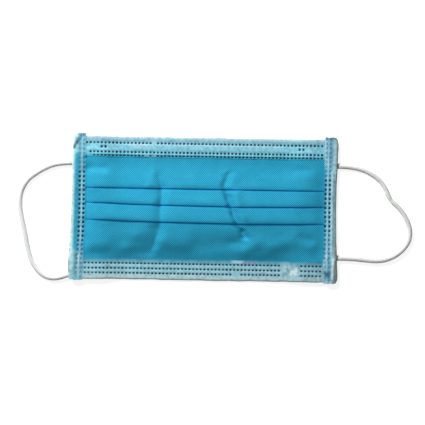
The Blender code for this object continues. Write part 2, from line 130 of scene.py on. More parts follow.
# Soft hills and hollows: both ends of their line, width and height
HILLS = (
    (18.0, -22.0, 26.0, -21.2, 3.6, -0.8), (-3.0, -25.0, 8.0, -24.0, 5.0, -0.6),
    (-44.0, -20.0, -14.0, -21.5, 7.0, 1.0), (44.0, -24.0, 62.0, -19.5, 4.5, 0.8),
    (26.0, -32.5, 44.0, -29.5, 4.5, 0.8), (64.0, -18.5, 70.0, -20.0, 3.2, -1.0),
    (76.0, -28.0, 77.0, -32.0, 4.0, -0.7), (-76.0, -28.8, -66.0, -28.5, 4.0, 0.8),
    (-77.0, -17.0, -74.0, -17.5, 3.0, 0.3), (-34.5, 22.0, -36.0, 15.0, 2.6, 0.6),
    (19.5, 20.0, 17.5, 14.0, 2.6, 0.4), (21.2, 9.0, 22.2, 3.0, 3.8, 1.3),
    (25.2, -1.0, 27.0, -4.5, 3.0, 0.8), (-75.0, 25.5, -66.0, 25.5, 3.2, -1.6),
    (62.0, 26.5, 68.0, 26.5, 2.6, -0.8), (-10.0, 27.0, -6.0, 19.0, 6.0, 0.3),
    (-70.0, 20.0, -70.0, 2.0, 4.0, -0.3), (-52.0, -27.5, -34.0, -27.5, 3.5, 0.6),
    (27.0, -28.5, 36.5, -21.8, 3.8, 0.8),
)

# Side bindings from top to bottom: height, outer edge, inner edge, lift share
LEFT_EDGE = (
    (48.05, 85.2, 77.8, 1.0), (43.7, 86.1, 77.7, 1.0), (38.4, 86.5, 77.7, 1.0), (29.8, 86.6, 77.7, 1.0),
    (14.4, 87.0, 77.65, 0.8), (0.0, 87.25, 77.7, 0.6), (-16.8, 87.6, 77.9, 0.65),
    (-28.8, 88.3, 78.3, 0.85), (-37.0, 88.75, 78.7, 1.0), (-42.3, 88.5, 78.95, 1.0),
    (-48.05, 88.2, 79.1, 1.0),
)
RIGHT_EDGE = (
    (48.05, 87.45, 79.0, 0.95), (43.2, 87.8, 79.0, 1.0), (33.6, 87.55, 78.9, 1.0), (14.4, 87.05, 78.8, 0.8),
    (0.0, 87.05, 78.8, 0.65), (-16.8, 87.35, 78.9, 0.85), (-33.6, 88.05, 78.8, 1.0),
    (-43.2, 88.55, 79.2, 0.9), (-48.05, 88.35, 79.4, 0.8),
)

# Weld dots of the hems, counted from the left
DOT_PITCH = 2.449
FIRST_DOT = -77.2
DOT_COUNT = 64
DOT_SIZE = 1.95
DOT_RING = 0.14
DOT_DEPTH = 0.45
FILM_TONE = "#01263C"
BACK_FILM_TONE = "#7FA6BA"
# Ends of the hem strips, narrowed to lie inside the bindings
HEM_NARROWING = 79.0
HEM_LINES_END = 86.0
HEM_END_GAP = 2.0
# Slope at the hems' inner edges, and the low ridge over the nose wire
INNER_SLOPE = 2.4
INNER_DROP = 0.62
WIRE_PLACE = 39.8
WIRE_HALF_LENGTH = 54.8
WIRE_RISE = 0.32

# Each hem: drops of its grid lines from the outer edge, of its dot rows, and dots that
# the welder missed as row and number
NOSE_DROPS = (1.4, 2.6, 3.6, 5.6, 5.8, 6.0, 8.4, 9.05, 9.55, 11.55, 11.8, 12.05, 13.55, 13.8)
NOSE_DOT_ROWS = (4.6, 7.2, 10.55, 12.8)
NOSE_MISSED = {(0, 18), (2, 0), (3, 0), (3, 1), (3, 16), (3, 18)}
LOCK_ROW = 1
LOCK_NUMBERS = (4, 5, 57, 58)
CHIN_DROPS = (1.3, 2.3, 3.3, 5.0, 5.7, 6.4, 8.1, 8.9, 9.7, 11.4, 12.5, 13.6)
CHIN_DOT_ROWS = (4.15, 7.25, 10.55)
CHIN_MISSED = {(row, number) for row in (0, 1, 2) for number in range(53, 58)} | {(0, 40), (0, 41)}

# Tones of the hem cloth by drop from the outer edge: white where it stands alone, bluer
# where it lies tight on the blue ply, as in its dot rows and at its inner edge. On the
# nose hem the lighter tone over the wire ridge is painted highlight, and the darker tone
# just below it is painted shade as well as the blue of a dot row
NOSE_TONES = (
    (0.5, "#B4C8CE"), (2.4, "#80B6C8"), (4.4, "#7CBACE"), (7.8, "#90DAEC"), (10.5, "#72BACE"),
    (11.7, "#78CCDE"), (13.6, "#38A6C8"),
)
CHIN_TONES = (
    (0.4, "#B8CED2"), (1.4, "#C2E0E4"), (4.2, "#8ABCC8"), (5.7, "#9CD0DC"), (7.2, "#88BCC8"),
    (8.9, "#9CD0DE"), (13.5, "#2A7890"),
)
BACK_TONES = ((0.3, "#D6E4E8"), (13.6, "#CFE0E6"))
# Tones of the marks on hems and bindings: white and pale cloth and film that welding and
# folding left; the pale tone also serves as painted highlight, and the grey and violet
# tones are painted shade
WHITE_CLOTH = "#E4F2F2"
PALE_CLOTH_AND_HIGHLIGHT = "#B6D8E0"
DULL_FILM = "#5E8488"
DEEP_FILM = "#2F7084"
PAINTED_SHADE_GREY = "#888F8A"
VIOLET_SHADE = "#8085A4"
# Marks on the hems: both ends, width, tone and strength
HEM_STROKES = (
    (54.0, -38.5, 60.5, -41.5, 2.8, PALE_CLOTH_AND_HIGHLIGHT, 0.8), (55.0, -36.5, 56.6, -41.0, 0.6, DULL_FILM, 0.7),
    (57.8, -42.6, 60.0, -38.6, 0.8, WHITE_CLOTH, 1.0), (60.4, -43.0, 61.6, -39.0, 0.7, WHITE_CLOTH, 0.9),
    (53.4, -42.0, 56.0, -43.4, 0.7, DULL_FILM, 0.6), (58.8, -38.0, 61.6, -36.6, 0.6, DULL_FILM, 0.5),
    # The violet stroke by the chin hem's inner edge is painted shade
    (28.0, -35.2, 34.0, -35.6, 1.6, VIOLET_SHADE, 0.6), (20.0, -34.6, 26.0, -35.0, 1.0, PALE_CLOTH_AND_HIGHLIGHT, 0.6),
    (-61.8, 39.6, -60.8, 39.6, 1.0, WHITE_CLOTH, 0.5), (67.8, 39.3, 69.2, 39.2, 1.0, WHITE_CLOTH, 0.8),
    (-33.6, 43.0, -32.8, 43.0, 0.9, PALE_CLOTH_AND_HIGHLIGHT, 0.4), (-38.4, 34.0, -37.2, 34.0, 0.9, PALE_CLOTH_AND_HIGHLIGHT, 0.9),
    # The pale strokes along the nose wire ridge are painted highlight
    (-33.4, 34.0, -32.2, 34.0, 0.9, PALE_CLOTH_AND_HIGHLIGHT, 0.9), (-50.0, 40.6, 50.0, 40.6, 1.2, PALE_CLOTH_AND_HIGHLIGHT, 0.25),
    (-47.0, 40.0, -38.0, 40.5, 1.4, PALE_CLOTH_AND_HIGHLIGHT, 0.6),
)

# Weld dots of the bindings, in columns at these widths from the inner edge
TAPE_PITCH = 3.0
TAPE_DOT_HEIGHT = 2.25
TAPE_COLUMNS = (1.1, 3.8)
TAPE_WIDTHS = (0.0, 0.15, 2.05, 2.45, 2.85, 4.75, 5.1, 5.6, 6.1, 6.6, 7.1, 7.6)
TAPE_HALF = 10.0
TAPE_BEND = 2.4
TAPE_FIRM = 5.0
TAPE_RISE_RUN = 3.4
TAPE_DOT_DEPTH = 0.35
TAPE_RIDGE = 2.45
TAPE_FILM = "#012C48"
BACK_TAPE_FILM = "#8CB4C6"
BACK_TAPE_TONE = "#D4E4EA"
# How clear the dots are by height; the welder smeared them near the tips
LEFT_CLARITY = (
    (47.0, 0.25), (27.0, 0.35), (22.0, 0.95), (-20.0, 1.0), (-25.0, 0.6), (-36.0, 0.45),
    (-46.0, 0.2),
)
RIGHT_CLARITY = (
    (47.0, 0.3), (24.0, 0.35), (20.0, 0.95), (-12.0, 1.0), (-17.0, 0.6), (-30.0, 0.5),
    (-38.0, 0.15), (-47.0, 0.1),
)
# Tones of the tape by width from its inner edge, along the middle and at the tips: blue
# in the dot columns, paler on the left's rolled edge where no blue lies beneath. On the
# right, the light band beyond the columns is painted highlight and the grey rolled edge
# is painted shade; then the ridge between the columns, lighter with painted highlight
LEFT_TAPE_TONES = (
    (0.0, "#40B4D4"), (1.1, "#3090B2"), (3.9, "#2E88A8"), (6.6, "#30A2BE"), (8.4, "#CCE8E6"),
)
LEFT_TIP_TONES = (
    (0.0, "#80C4DA"), (1.1, "#5CA8C4"), (3.9, "#5AAAC4"), (7.0, "#A8E4E6"), (8.4, "#D2ECEC"),
)
RIGHT_TAPE_TONES = (
    (0.0, "#3494B6"), (1.1, "#3084A6"), (3.8, "#3A88A8"), (5.4, "#9CD8EA"), (8.0, "#8E9E9E"),
)
RIGHT_TIP_TONES = (
    (0.0, "#B0D2E0"), (1.1, "#5C92B0"), (3.9, "#568EAA"), (5.8, "#9CCADC"), (7.4, "#84989A"),
)
RIDGE_HIGHLIGHT_TONE = "#9CD4E6"
RIDGE_WIDTH = 0.45
# Height where the tones of the upper tip begin and their run, then those of the lower tip
LEFT_TIPS = (33.0, 4.0, -27.0, 6.0)
RIGHT_TIPS = (25.0, 8.0, -30.0, 8.0)
# Marks on the bindings: both ends, width, tone and strength
LEFT_TAPE_STROKES = (
    (-84.3, 46.6, -84.9, 41.5, 2.2, PALE_CLOTH_AND_HIGHLIGHT, 1.0), (-80.9, 45.7, -85.9, 37.9, 0.9, DEEP_FILM, 0.9),
    (-82.0, 41.0, -82.2, 38.0, 0.8, DEEP_FILM, 0.3), (-79.0, 47.7, -80.0, 47.8, 0.5, DULL_FILM, 0.8),
    (-83.0, -32.7, -82.8, -44.6, 0.8, DEEP_FILM, 0.95), (-81.2, -31.0, -81.3, -45.0, 0.6, PALE_CLOTH_AND_HIGHLIGHT, 0.6),
    (-86.0, -30.0, -86.2, -43.5, 1.6, PALE_CLOTH_AND_HIGHLIGHT, 0.9), (-87.7, -34.4, -87.7, -42.0, 0.4, DULL_FILM, 0.8),
    (-80.0, -34.0, -80.0, -46.0, 0.6, DULL_FILM, 0.4),
)
RIGHT_TAPE_STROKES = (
    (80.5, 45.0, 80.2, 34.5, 0.8, DEEP_FILM, 0.7), (83.0, 45.0, 82.8, 33.0, 0.8, DEEP_FILM, 0.7),
    # The pale stroke from 84.3, 25 down is painted highlight over a real puff of the tape
    (85.6, 45.0, 85.6, 20.0, 0.9, PALE_CLOTH_AND_HIGHLIGHT, 0.7), (84.3, 25.0, 84.2, -28.0, 0.8, PALE_CLOTH_AND_HIGHLIGHT, 0.6),
    (85.9, -31.6, 85.0, -45.5, 0.8, WHITE_CLOTH, 0.8), (79.6, -40.6, 83.0, -44.4, 1.6, DEEP_FILM, 0.8),
    (80.0, -44.0, 83.2, -41.0, 1.4, DEEP_FILM, 0.8), (80.7, -29.6, 80.7, -30.4, 1.1, PALE_CLOTH_AND_HIGHLIGHT, 0.7),
    # The grey strokes along the top end and down the outer edge are painted shade, where the tape turns
    # from the light
    (77.9, 47.3, 88.0, 47.4, 0.8, PAINTED_SHADE_GREY, 0.9), (80.6, -47.2, 80.8, -47.4, 0.8, WHITE_CLOTH, 0.6),
    (83.9, -47.2, 84.2, -47.4, 0.8, WHITE_CLOTH, 0.6), (87.0, -20.0, 87.6, -47.0, 0.8, PAINTED_SHADE_GREY, 0.7),
)
# Puffs and folds of the bindings: both ends, width and height
LEFT_PUFFS = (
    (-84.3, 46.0, -84.9, 41.0, 2.2, 0.9), (-80.9, 45.7, -85.9, 37.9, 0.9, -0.5),
    (-86.0, -30.0, -86.0, -43.0, 1.8, 0.8), (-83.0, -32.7, -82.8, -45.0, 0.8, -0.5),
    (-81.2, -31.0, -81.3, -46.0, 0.6, 0.25), (-85.4, 22.0, -85.2, -20.0, 1.0, 0.3),
)
RIGHT_PUFFS = (
    (84.2, 25.0, 84.2, -28.0, 0.8, 0.4), (85.9, -31.6, 85.0, -45.5, 0.8, 0.8),
    (77.9, 47.3, 88.4, 47.4, 0.9, 0.6), (86.2, 20.0, 86.3, -24.0, 0.8, -0.3),
    (80.0, -43.0, 83.0, -43.0, 1.6, -0.5), (80.7, -47.0, 80.8, -48.0, 0.8, 0.4),
    (84.0, -47.0, 84.2, -48.0, 0.8, 0.4),
)

# Elastic cords and their flattened ends
CORD_DIAMETER = 3.2
CORD_LEVEL = 1.6
# Kink of the right cord: place along it, reach and depth
CORD_KINK = (44.0, 1.6, 0.12)
# Ends of the cords: piece, node, side, height and turn in degrees
LOOP_ENDS = (
    ("left_upper_cord_end", "loop_end_left_upper", -1, 28.6, 0.0),
    ("left_lower_cord_end", "loop_end_left_lower", -1, -44.9, 20.0),
    ("right_upper_cord_end", "loop_end_right_upper", 1, 29.3, 0.0),
    ("right_lower_cord_end", "loop_end_right_lower", 1, -31.2, 0.0),
)

# Routes of the ear loops on the table in metres, the same as in the part's source
LEFT_ROUTE = (
    (-0.0877, 0.0286), (-0.0921, 0.0283), (-0.0980, 0.0274), (-0.1030, 0.0256),
    (-0.1076, 0.0232), (-0.1118, 0.0204), (-0.1156, 0.0172), (-0.1184, 0.0133),
    (-0.1202, 0.0090), (-0.1210, 0.0044), (-0.1210, -0.0002), (-0.1204, -0.0046),
    (-0.1195, -0.0088), (-0.1185, -0.0132), (-0.1175, -0.0176), (-0.1167, -0.0219),
    (-0.1158, -0.0262), (-0.1147, -0.0305), (-0.1132, -0.0350), (-0.1109, -0.0394),
    (-0.1075, -0.0434), (-0.1034, -0.0463), (-0.0989, -0.0475), (-0.0943, -0.0470),
    (-0.0880, -0.0450),
)
RIGHT_ROUTE = (
    (0.0888, 0.0293), (0.0937, 0.0290), (0.0983, 0.0284), (0.1028, 0.0275),
    (0.1070, 0.0260), (0.1109, 0.0239), (0.1146, 0.0212), (0.1175, 0.0178),
    (0.1197, 0.0141), (0.1214, 0.0102), (0.1238, 0.0067), (0.1276, 0.0033),
    (0.1313, -0.0012), (0.1340, -0.0062), (0.1356, -0.0110), (0.1358, -0.0156),
    (0.1346, -0.0203), (0.1313, -0.0250), (0.1264, -0.0290), (0.1205, -0.0316),
    (0.1143, -0.0325), (0.1086, -0.0323), (0.1036, -0.0318), (0.0990, -0.0315),
    (0.0940, -0.0313), (0.0893, -0.0312),
)

# Pitch of the bond points of spunbond cloth. Real ones stand about 1 mm apart; these
# are a little coarser, as wide as the pattern looks in the photograph
BOND_PITCH = 1.24


# Small sums used by several pieces

def smooth_step(value):
    """Ease from 0 to 1, level at both ends."""
    value = min(max(value, 0.0), 1.0)
    return value * value * (3 - 2 * value)


def table_value(rows, column, place):
    """Read a column of a table sorted by its first column, eased between its rows."""
    falling = rows[0][0] > rows[-1][0]
    sign = -1 if falling else 1
    if sign * place <= sign * rows[0][0]:
        return rows[0][column]
    for first, second in zip(rows, rows[1:]):
        if sign * place <= sign * second[0]:
            share = (place - first[0]) / (second[0] - first[0])
            return first[column] + (second[column] - first[column]) * smooth_step(share)
    return rows[-1][column]


def edge_rows(side):
    """Outline of one side, -1 for left and 1 for right."""
    return LEFT_EDGE if side < 0 else RIGHT_EDGE


def outer_edge(side, y):
    """Distance of a binding's outer edge from the middle, tips rounded off."""
    short = max(2.0 - (HALF_HEIGHT - abs(y)), 0.0)
    return table_value(edge_rows(side), 1, y) - (2.0 - math.sqrt(4.0 - min(short, 2.0) ** 2))


def side_share(x):
    """0 over the middle of the mask, 1 at its bound sides."""
    return smooth_step((abs(x) - LIFT_START) / (LIFT_END - LIFT_START))


def press(x):
    """How far the layers keep their height: less and less towards the bindings."""
    return 1 - (1 - SIDE_PRESS) * smooth_step((abs(x) - PRESS_START) / PRESS_RUN)


def press_share(y):
    """1 along the pleated field, 0 at the hems."""
    below_top = smooth_step((PLEATED_TOP - y) / PLEATED_RUN)
    return below_top * smooth_step((y - PLEATED_BOTTOM) / PLEATED_RUN)


def side_lift(x, y):
    """The bound sides lie on the ends of the cords and sag a little between them."""
    side = -1 if x < 0 else 1
    lift = SIDE_LIFT * table_value(edge_rows(side), 3, y) * side_share(x)
    shoulder = smooth_step((SHOULDER_START - abs(x)) / SHOULDER_RUN + 1) * side_share(x)
    return lift + SHOULDER_RISES[side] * shoulder * press_share(y)


def creases(x, y):
    """Depth of the two long creases at a place."""
    depth = 0.0
    for rows in (LEFT_CREASE, RIGHT_CREASE):
        offset = x - table_value(rows, 1, y)
        width = table_value(rows, 3 if offset < 0 else 4, y)
        near = max(1 - math.sqrt(offset ** 2 + 0.25) / width, 0.0)
        depth += CREASE_DEPTH * table_value(rows, 2, y) * near ** 2
    return depth


def stroke_share(x, y, stroke):
    """1 on the line of a stroke, given by its ends and width, falling softly beside it."""
    start_x, start_y, end_x, end_y, width = stroke[:5]
    run = Vector((end_x - start_x, end_y - start_y))
    offset = Vector((x - start_x, y - start_y))
    share = min(max(offset.dot(run) / max(run.length_squared, 0.0001), 0.0), 1.0)
    return math.exp(-((offset - run * share).length / width) ** 2)


def wrinkles(x, y):
    """Fine uneven hills of soft cloth, the same in every run."""
    broad = noise.noise(Vector((x / 17.0, y / 9.0, 3.1)))
    fine = noise.noise(Vector((x / 5.0, y / 4.0, 8.7)))
    return 0.32 * broad + 0.07 * fine


def swell(x, y):
    """Pillow of the pleated field with its creases, dents and wrinkles."""
    from_nose = smooth_step((SWELL_TOP - y) / SWELL_RUN_NOSE)
    from_chin = min(max((y - CHIN_FIELD) / SWELL_RUN_CHIN, 0.0), 1.0)
    from_chin = from_chin * (1.75 - 0.75 * from_chin)
    field = from_nose * from_chin * (1 - side_share(x))
    soft = smooth_step((SOFT_TOP - y) / SOFT_RUN) * min(from_chin * 2, 1.0) * (1 - 0.2 * side_share(x))
    bends = sum(stroke_share(x, y, hill) * hill[5] for hill in HILLS) - creases(x, y) + wrinkles(x, y)
    return field * SWELL_HEIGHT + soft * bends


def relief(x, y):
    """Lift of every cloth piece over the table."""
    return side_lift(x, y) + swell(x, y)


def fold_drift(x, y):
    """Upward or downward drift of the folds at a place."""
    above = smooth_step((FOLDS[0] - y) / (FOLDS[0] - FOLDS[1]))
    below = smooth_step((y - CHIN_FIELD) / DRIFT_RUN)
    return table_value(FOLD_DRIFT, 1, x) * above * below


def smooth_line(points, longest):
    """Points on a smooth curve through control points, none further apart than longest."""
    line = []
    last = len(points) - 1
    for index in range(last):
        start = Vector(points[index])
        end = Vector(points[index + 1])
        before = Vector(points[index - 1]) if index > 0 else start * 2 - end
        after = Vector(points[index + 2]) if index + 2 <= last else end * 2 - start
        steps = max(math.ceil((end - start).length / longest), 2)
        for step in range(steps):
            share = step / steps
            spot = start * 2 + (end - before) * share
            spot += (before * 2 - start * 5 + end * 4 - after) * share ** 2
            spot += (start * 3 - before - end * 3 + after) * share ** 3
            line.append(spot / 2)
    line.append(Vector(points[-1]))
    return line


def run_lengths(line):
    """Length along a line up to each of its points."""
    lengths = [0.0]
    for start, end in zip(line, line[1:]):
        lengths.append(lengths[-1] + (end - start).length)
    return lengths


def row_at(lengths, run):
    """Number of the row that stands at a length along a line."""
    return min(bisect.bisect_left(lengths, run - 0.001), len(lengths) - 1)


# Making meshes

def flat_cloth(columns, rows):
    """Flat grid whose lines stand at the given columns and rows."""
    mesh = bmesh.new()
    across = len(columns) - 1
    along = len(rows) - 1
    bmesh.ops.create_grid(mesh, x_segments=across, y_segments=along, size=1.0)
    for vert in mesh.verts:
        column = round((vert.co.x + 1) / 2 * across)
        row = round((vert.co.y + 1) / 2 * along)
        vert.co = Vector((columns[column], rows[row], 0.0))
    return mesh


def mark_cloth(mesh):
    """Keep the flat place of every corner, in millimetres, as the cloth's UV map."""
    layer = mesh.loops.layers.uv.new("cloth")
    for face in mesh.faces:
        for loop in face.loops:
            loop[layer].uv = (loop.vert.co.x, loop.vert.co.y)


def between(first, second, share):
    """Tone between two others."""
    return tuple(a + (b - a) * share for a, b in zip(first, second))


def table_tone(rows, place):
    """Tone at a place in a table of places and hex colours."""
    for first, second in zip(rows, rows[1:]):
        if place < second[0]:
            share = min(max((place - first[0]) / (second[0] - first[0]), 0.0), 1.0)
            return between(to_linear(first[1]), to_linear(second[1]), share)
    return to_linear(rows[-1][1])


def brushed(tone, strokes, x, y):
    """A tone with soft strokes laid over it."""
    for stroke in strokes:
        share = stroke_share(x, y, stroke) * stroke[6]
        if share > 0.01:
            tone = between(tone, to_linear(stroke[5]), share)
    return tone


def finish_piece(name, mesh, material, node_names, wall=0.0, levels=0):
    """Bring a mesh to metres and make it a piece that stands for its CAD nodes."""
    bmesh.ops.scale(mesh, vec=(MILLIMETRE, MILLIMETRE, MILLIMETRE), verts=mesh.verts)
    data = bpy.data.meshes.new(name)
    mesh.to_mesh(data)
    mesh.free()
    data.shade_smooth()
    data.materials.append(material)
    piece = bpy.data.objects.new(name, data)
    bpy.context.scene.collection.objects.link(piece)
    if wall:
        solidify = piece.modifiers.new("cloth_wall", "SOLIDIFY")
        solidify.thickness = wall * MILLIMETRE
        solidify.offset = 0.0
    if levels:
        smoothing = piece.modifiers.new("soft_surface", "SUBSURF")
        smoothing.levels = levels
        smoothing.render_levels = levels
    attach(piece, "root")
    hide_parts(*node_names)
    return piece


# Materials

def to_linear(code):
    """sRGB hex colour as linear red, green, blue and alpha."""
    shares = [int(code[place:place + 2], 16) / 255 for place in (1, 3, 5)]
    line = [v / 12.92 if v <= 0.04045 else ((v + 0.055) / 1.055) ** 2.4 for v in shares]
    return (line[0], line[1], line[2], 1.0)


def add_node(material, kind, settings, inputs):
    """Add a shader node; an input is a value or the output of another node."""
    node = material.node_tree.nodes.new(kind)
    for name, value in settings.items():
        setattr(node, name, value)
    for name, value in inputs.items():
        if isinstance(value, bpy.types.NodeSocket):
            material.node_tree.links.new(value, node.inputs[name])
        else:
            node.inputs[name].default_value = value
    return node


def new_material(name, roughness, sheen):
    """A material with its shader's constant values set."""
    material = bpy.data.materials.new(name)
    material.use_nodes = True
    shader = material.node_tree.nodes["Principled BSDF"]
    shader.inputs["Roughness"].default_value = roughness
    shader.inputs["Sheen Weight"].default_value = sheen
    shader.inputs["Sheen Roughness"].default_value = 0.6
    shader.inputs["Specular IOR Level"].default_value = 0.2
    return material, shader


def point_bonds(material, pitch):
    """Staggered bond points of spunbond cloth, 1 at a point and -1 between points."""
    place = add_node(material, "ShaderNodeUVMap", {"uv_map": "cloth"}, {})
    split = add_node(material, "ShaderNodeSeparateXYZ", {}, {0: place.outputs[0]})
    waves = []
    for axis in (0, 1):
        turn = {"operation": "MULTIPLY"}
        angle = add_node(material, "ShaderNodeMath", turn, {0: split.outputs[axis], 1: math.tau / pitch})
        waves.append(add_node(material, "ShaderNodeMath", {"operation": "COSINE"}, {0: angle.outputs[0]}))
    both = {0: waves[0].outputs[0], 1: waves[1].outputs[0]}
    return add_node(material, "ShaderNodeMath", {"operation": "MULTIPLY"}, both)


def mix_colours(material, share, first, second, blend="MIX"):
    """Colour between two others by a share."""
    settings = {"data_type": "RGBA", "blend_type": blend}
    return add_node(material, "ShaderNodeMix", settings, {0: share, 6: first, 7: second}).outputs[2]


def cloth_noise(material, scale, detail):
    """Uneven fibres over the cloth's own place, scale in repeats per metre."""
    place = add_node(material, "ShaderNodeTexCoord", {}, {})
    inputs = {"Vector": place.outputs["Object"], "Scale": scale, "Detail": detail, "Roughness": 0.6}
    return add_node(material, "ShaderNodeTexNoise", {}, inputs).outputs["Fac"]


def stretch_range(material, value, low, high, first, second):
    """Carry a value from one range to another, held at its ends."""
    inputs = {"Value": value, "From Min": low, "From Max": high, "To Min": first, "To Max": second}
    return add_node(material, "ShaderNodeMapRange", {"clamp": True}, inputs).outputs["Result"]


def rough_surface(material, shader, heights):
    """Bump from several heights, each with its depth in metres."""
    normal = None
    for height, depth in heights:
        inputs = {"Height": height, "Strength": 1.0, "Distance": depth}
        if normal is not None:
            inputs["Normal"] = normal
        normal = add_node(material, "ShaderNodeBump", {}, inputs).outputs["Normal"]
    material.node_tree.links.new(normal, shader.inputs["Normal"])


def blue_spunbond():
    """Polypropylene spunbond, dyed blue and point bonded: matt cyan with tiny darker bond
    points in staggered rows, a slight unevenness of its fibres, and a purer blue painted
    into the fold lines as painted shade."""
    material, shader = new_material("blue_spunbond", 0.85, 0.0)
    bonds = point_bonds(material, BOND_PITCH).outputs[0]
    fibres = cloth_noise(material, 1500.0, 4.0)
    clouds = cloth_noise(material, 120.0, 3.0)
    cloudy = stretch_range(material, clouds, 0.3, 0.7, 0.0, 1.0)
    light_blue = mix_colours(material, cloudy, to_linear("#28B8D8"), to_linear("#30BEDC"))
    dark_blue = mix_colours(material, cloudy, to_linear("#00487C"), to_linear("#004F82"))
    spots = stretch_range(material, bonds, -0.6, 0.6, 0.0, 1.0)
    colour = mix_colours(material, spots, light_blue, dark_blue)
    threads = stretch_range(material, fibres, 0.4, 0.75, 0.0, 0.12)
    colour = mix_colours(material, threads, colour, to_linear("#58C4E4"))
    # Painted shade: a brighter, purer blue laid along the fold lines, where the lips' shadow falls, so that
    # the shade there comes out blue
    fold_shade_tint = add_node(material, "ShaderNodeAttribute", {"attribute_name": "fold_shade_tint"}, {}).outputs["Fac"]
    colour = mix_colours(material, fold_shade_tint, colour, to_linear("#129CE8"))
    material.node_tree.links.new(colour, shader.inputs["Base Color"])
    low = stretch_range(material, bonds, 0.0, 1.0, 1.0, 0.0)
    rough_surface(material, shader, ((low, 0.00008), (fibres, 0.00006)))
    return material


def white_spunbond():
    """White polypropylene spunbond, the soft ply against the skin: matt white with fine
    bond points and a faint blue cast from the ply behind it."""
    material, shader = new_material("white_spunbond", 0.85, 0.1)
    bonds = point_bonds(material, BOND_PITCH).outputs[0]
    fibres = cloth_noise(material, 1500.0, 4.0)
    spots = stretch_range(material, bonds, 0.25, 0.85, 0.0, 0.5)
    colour = mix_colours(material, spots, to_linear("#DCE6EA"), to_linear("#C4D6DE"))
    material.node_tree.links.new(colour, shader.inputs["Base Color"])
    low = stretch_range(material, bonds, 0.0, 1.0, 1.0, 0.0)
    rough_surface(material, shader, ((low, 0.00008), (fibres, 0.00006)))
    return material


def welded_cloth(name, veil):
    """White spunbond over blue, welded with ultrasound: pale and soft, whiter where it
    stands clear of the blue, and dark, smooth film where the points are fused. The tone
    of each place is laid on the cloth, in places with painted highlight and painted shade
    in it, and bonds, fibres and clouds break it up."""
    material, shader = new_material(name, 0.72, 0.0)
    bonds = point_bonds(material, BOND_PITCH).outputs[0]
    fibres = cloth_noise(material, 1300.0, 4.0)
    clouds = cloth_noise(material, 420.0, 3.0)
    tone = add_node(material, "ShaderNodeAttribute", {"attribute_name": "tone"}, {}).outputs["Color"]
    fused = add_node(material, "ShaderNodeAttribute", {"attribute_name": "fused"}, {}).outputs["Fac"]
    loose = stretch_range(material, fused, 0.0, 0.5, veil, 0.0)
    cloudy = stretch_range(material, clouds, 0.45, 0.75, 0.0, 1.0)
    loose_clouds = {0: cloudy, 1: loose}
    cloudy = add_node(material, "ShaderNodeMath", {"operation": "MULTIPLY"}, loose_clouds).outputs[0]
    threads = stretch_range(material, fibres, 0.5, 0.8, 0.0, 1.0)
    loose_threads = {0: threads, 1: loose}
    threads = add_node(material, "ShaderNodeMath", {"operation": "MULTIPLY"}, loose_threads).outputs[0]
    colour = mix_colours(material, cloudy, tone, to_linear("#A8C0CA"), "MULTIPLY")
    colour = mix_colours(material, threads, colour, to_linear("#E8F6F8"), "SOFT_LIGHT")
    spots = stretch_range(material, bonds, -0.4, 0.8, 0.0, 0.6)
    spots = add_node(material, "ShaderNodeMath", {"operation": "MULTIPLY"}, {0: spots, 1: spots}).outputs[0]
    colour = mix_colours(material, spots, colour, to_linear("#0F4A66"))
    material.node_tree.links.new(colour, shader.inputs["Base Color"])
    shine = stretch_range(material, fused, 0.2, 0.9, 0.72, 0.42)
    material.node_tree.links.new(shine, shader.inputs["Roughness"])
    rough_surface(material, shader, ((fibres, 0.00008),))
    return material


def knitted_elastic():
    """Tube of knitted polyester over spandex: soft, nearly white, with fine lengthwise
    ribs. The stitches are drawn at 0.8 mm, a little coarser than the real ones, to show."""
    material, shader = new_material("knitted_elastic", 0.9, 0.2)
    place = add_node(material, "ShaderNodeUVMap", {"uv_map": "cloth"}, {})
    split = add_node(material, "ShaderNodeSeparateXYZ", {}, {0: place.outputs[0]})
    around = {0: split.outputs[0], 1: math.tau * 12}
    ribs = add_node(material, "ShaderNodeMath", {"operation": "MULTIPLY"}, around)
    ribs = add_node(material, "ShaderNodeMath", {"operation": "COSINE"}, {0: ribs.outputs[0]})
    slant = {0: ribs.outputs[0], 1: 0.9}
    slant = add_node(material, "ShaderNodeMath", {"operation": "MULTIPLY"}, slant)
    along = {0: split.outputs[1], 1: math.tau / 0.8}
    rows = add_node(material, "ShaderNodeMath", {"operation": "MULTIPLY"}, along)
    slanted = {0: rows.outputs[0], 1: slant.outputs[0]}
    rows = add_node(material, "ShaderNodeMath", {"operation": "ADD"}, slanted)
    rows = add_node(material, "ShaderNodeMath", {"operation": "SINE"}, {0: rows.outputs[0]})
    fibres = cloth_noise(material, 1400.0, 3.0)
    shade = stretch_range(material, rows.outputs[0], -1.0, 0.2, 0.35, 0.0)
    colour = mix_colours(material, shade, to_linear("#E6E9E5"), to_linear("#C4C9C5"))
    material.node_tree.links.new(colour, shader.inputs["Base Color"])
    heights = ((ribs.outputs[0], 0.00005), (rows.outputs[0], 0.00004), (fibres, 0.00005))
    rough_surface(material, shader, heights)
    return material


def coated_wire():
    """Soft iron wire in extruded polyethylene: milky, smooth, a little glossy."""
    material, shader = new_material("polyethylene_coated_wire", 0.4, 0.0)
    clouds = cloth_noise(material, 400.0, 2.0)
    colour = mix_colours(material, clouds, to_linear("#D8DCDD"), to_linear("#E6E8E7"))
    material.node_tree.links.new(colour, shader.inputs["Base Color"])
    rough_surface(material, shader, ((clouds, 0.00003),))
    return material


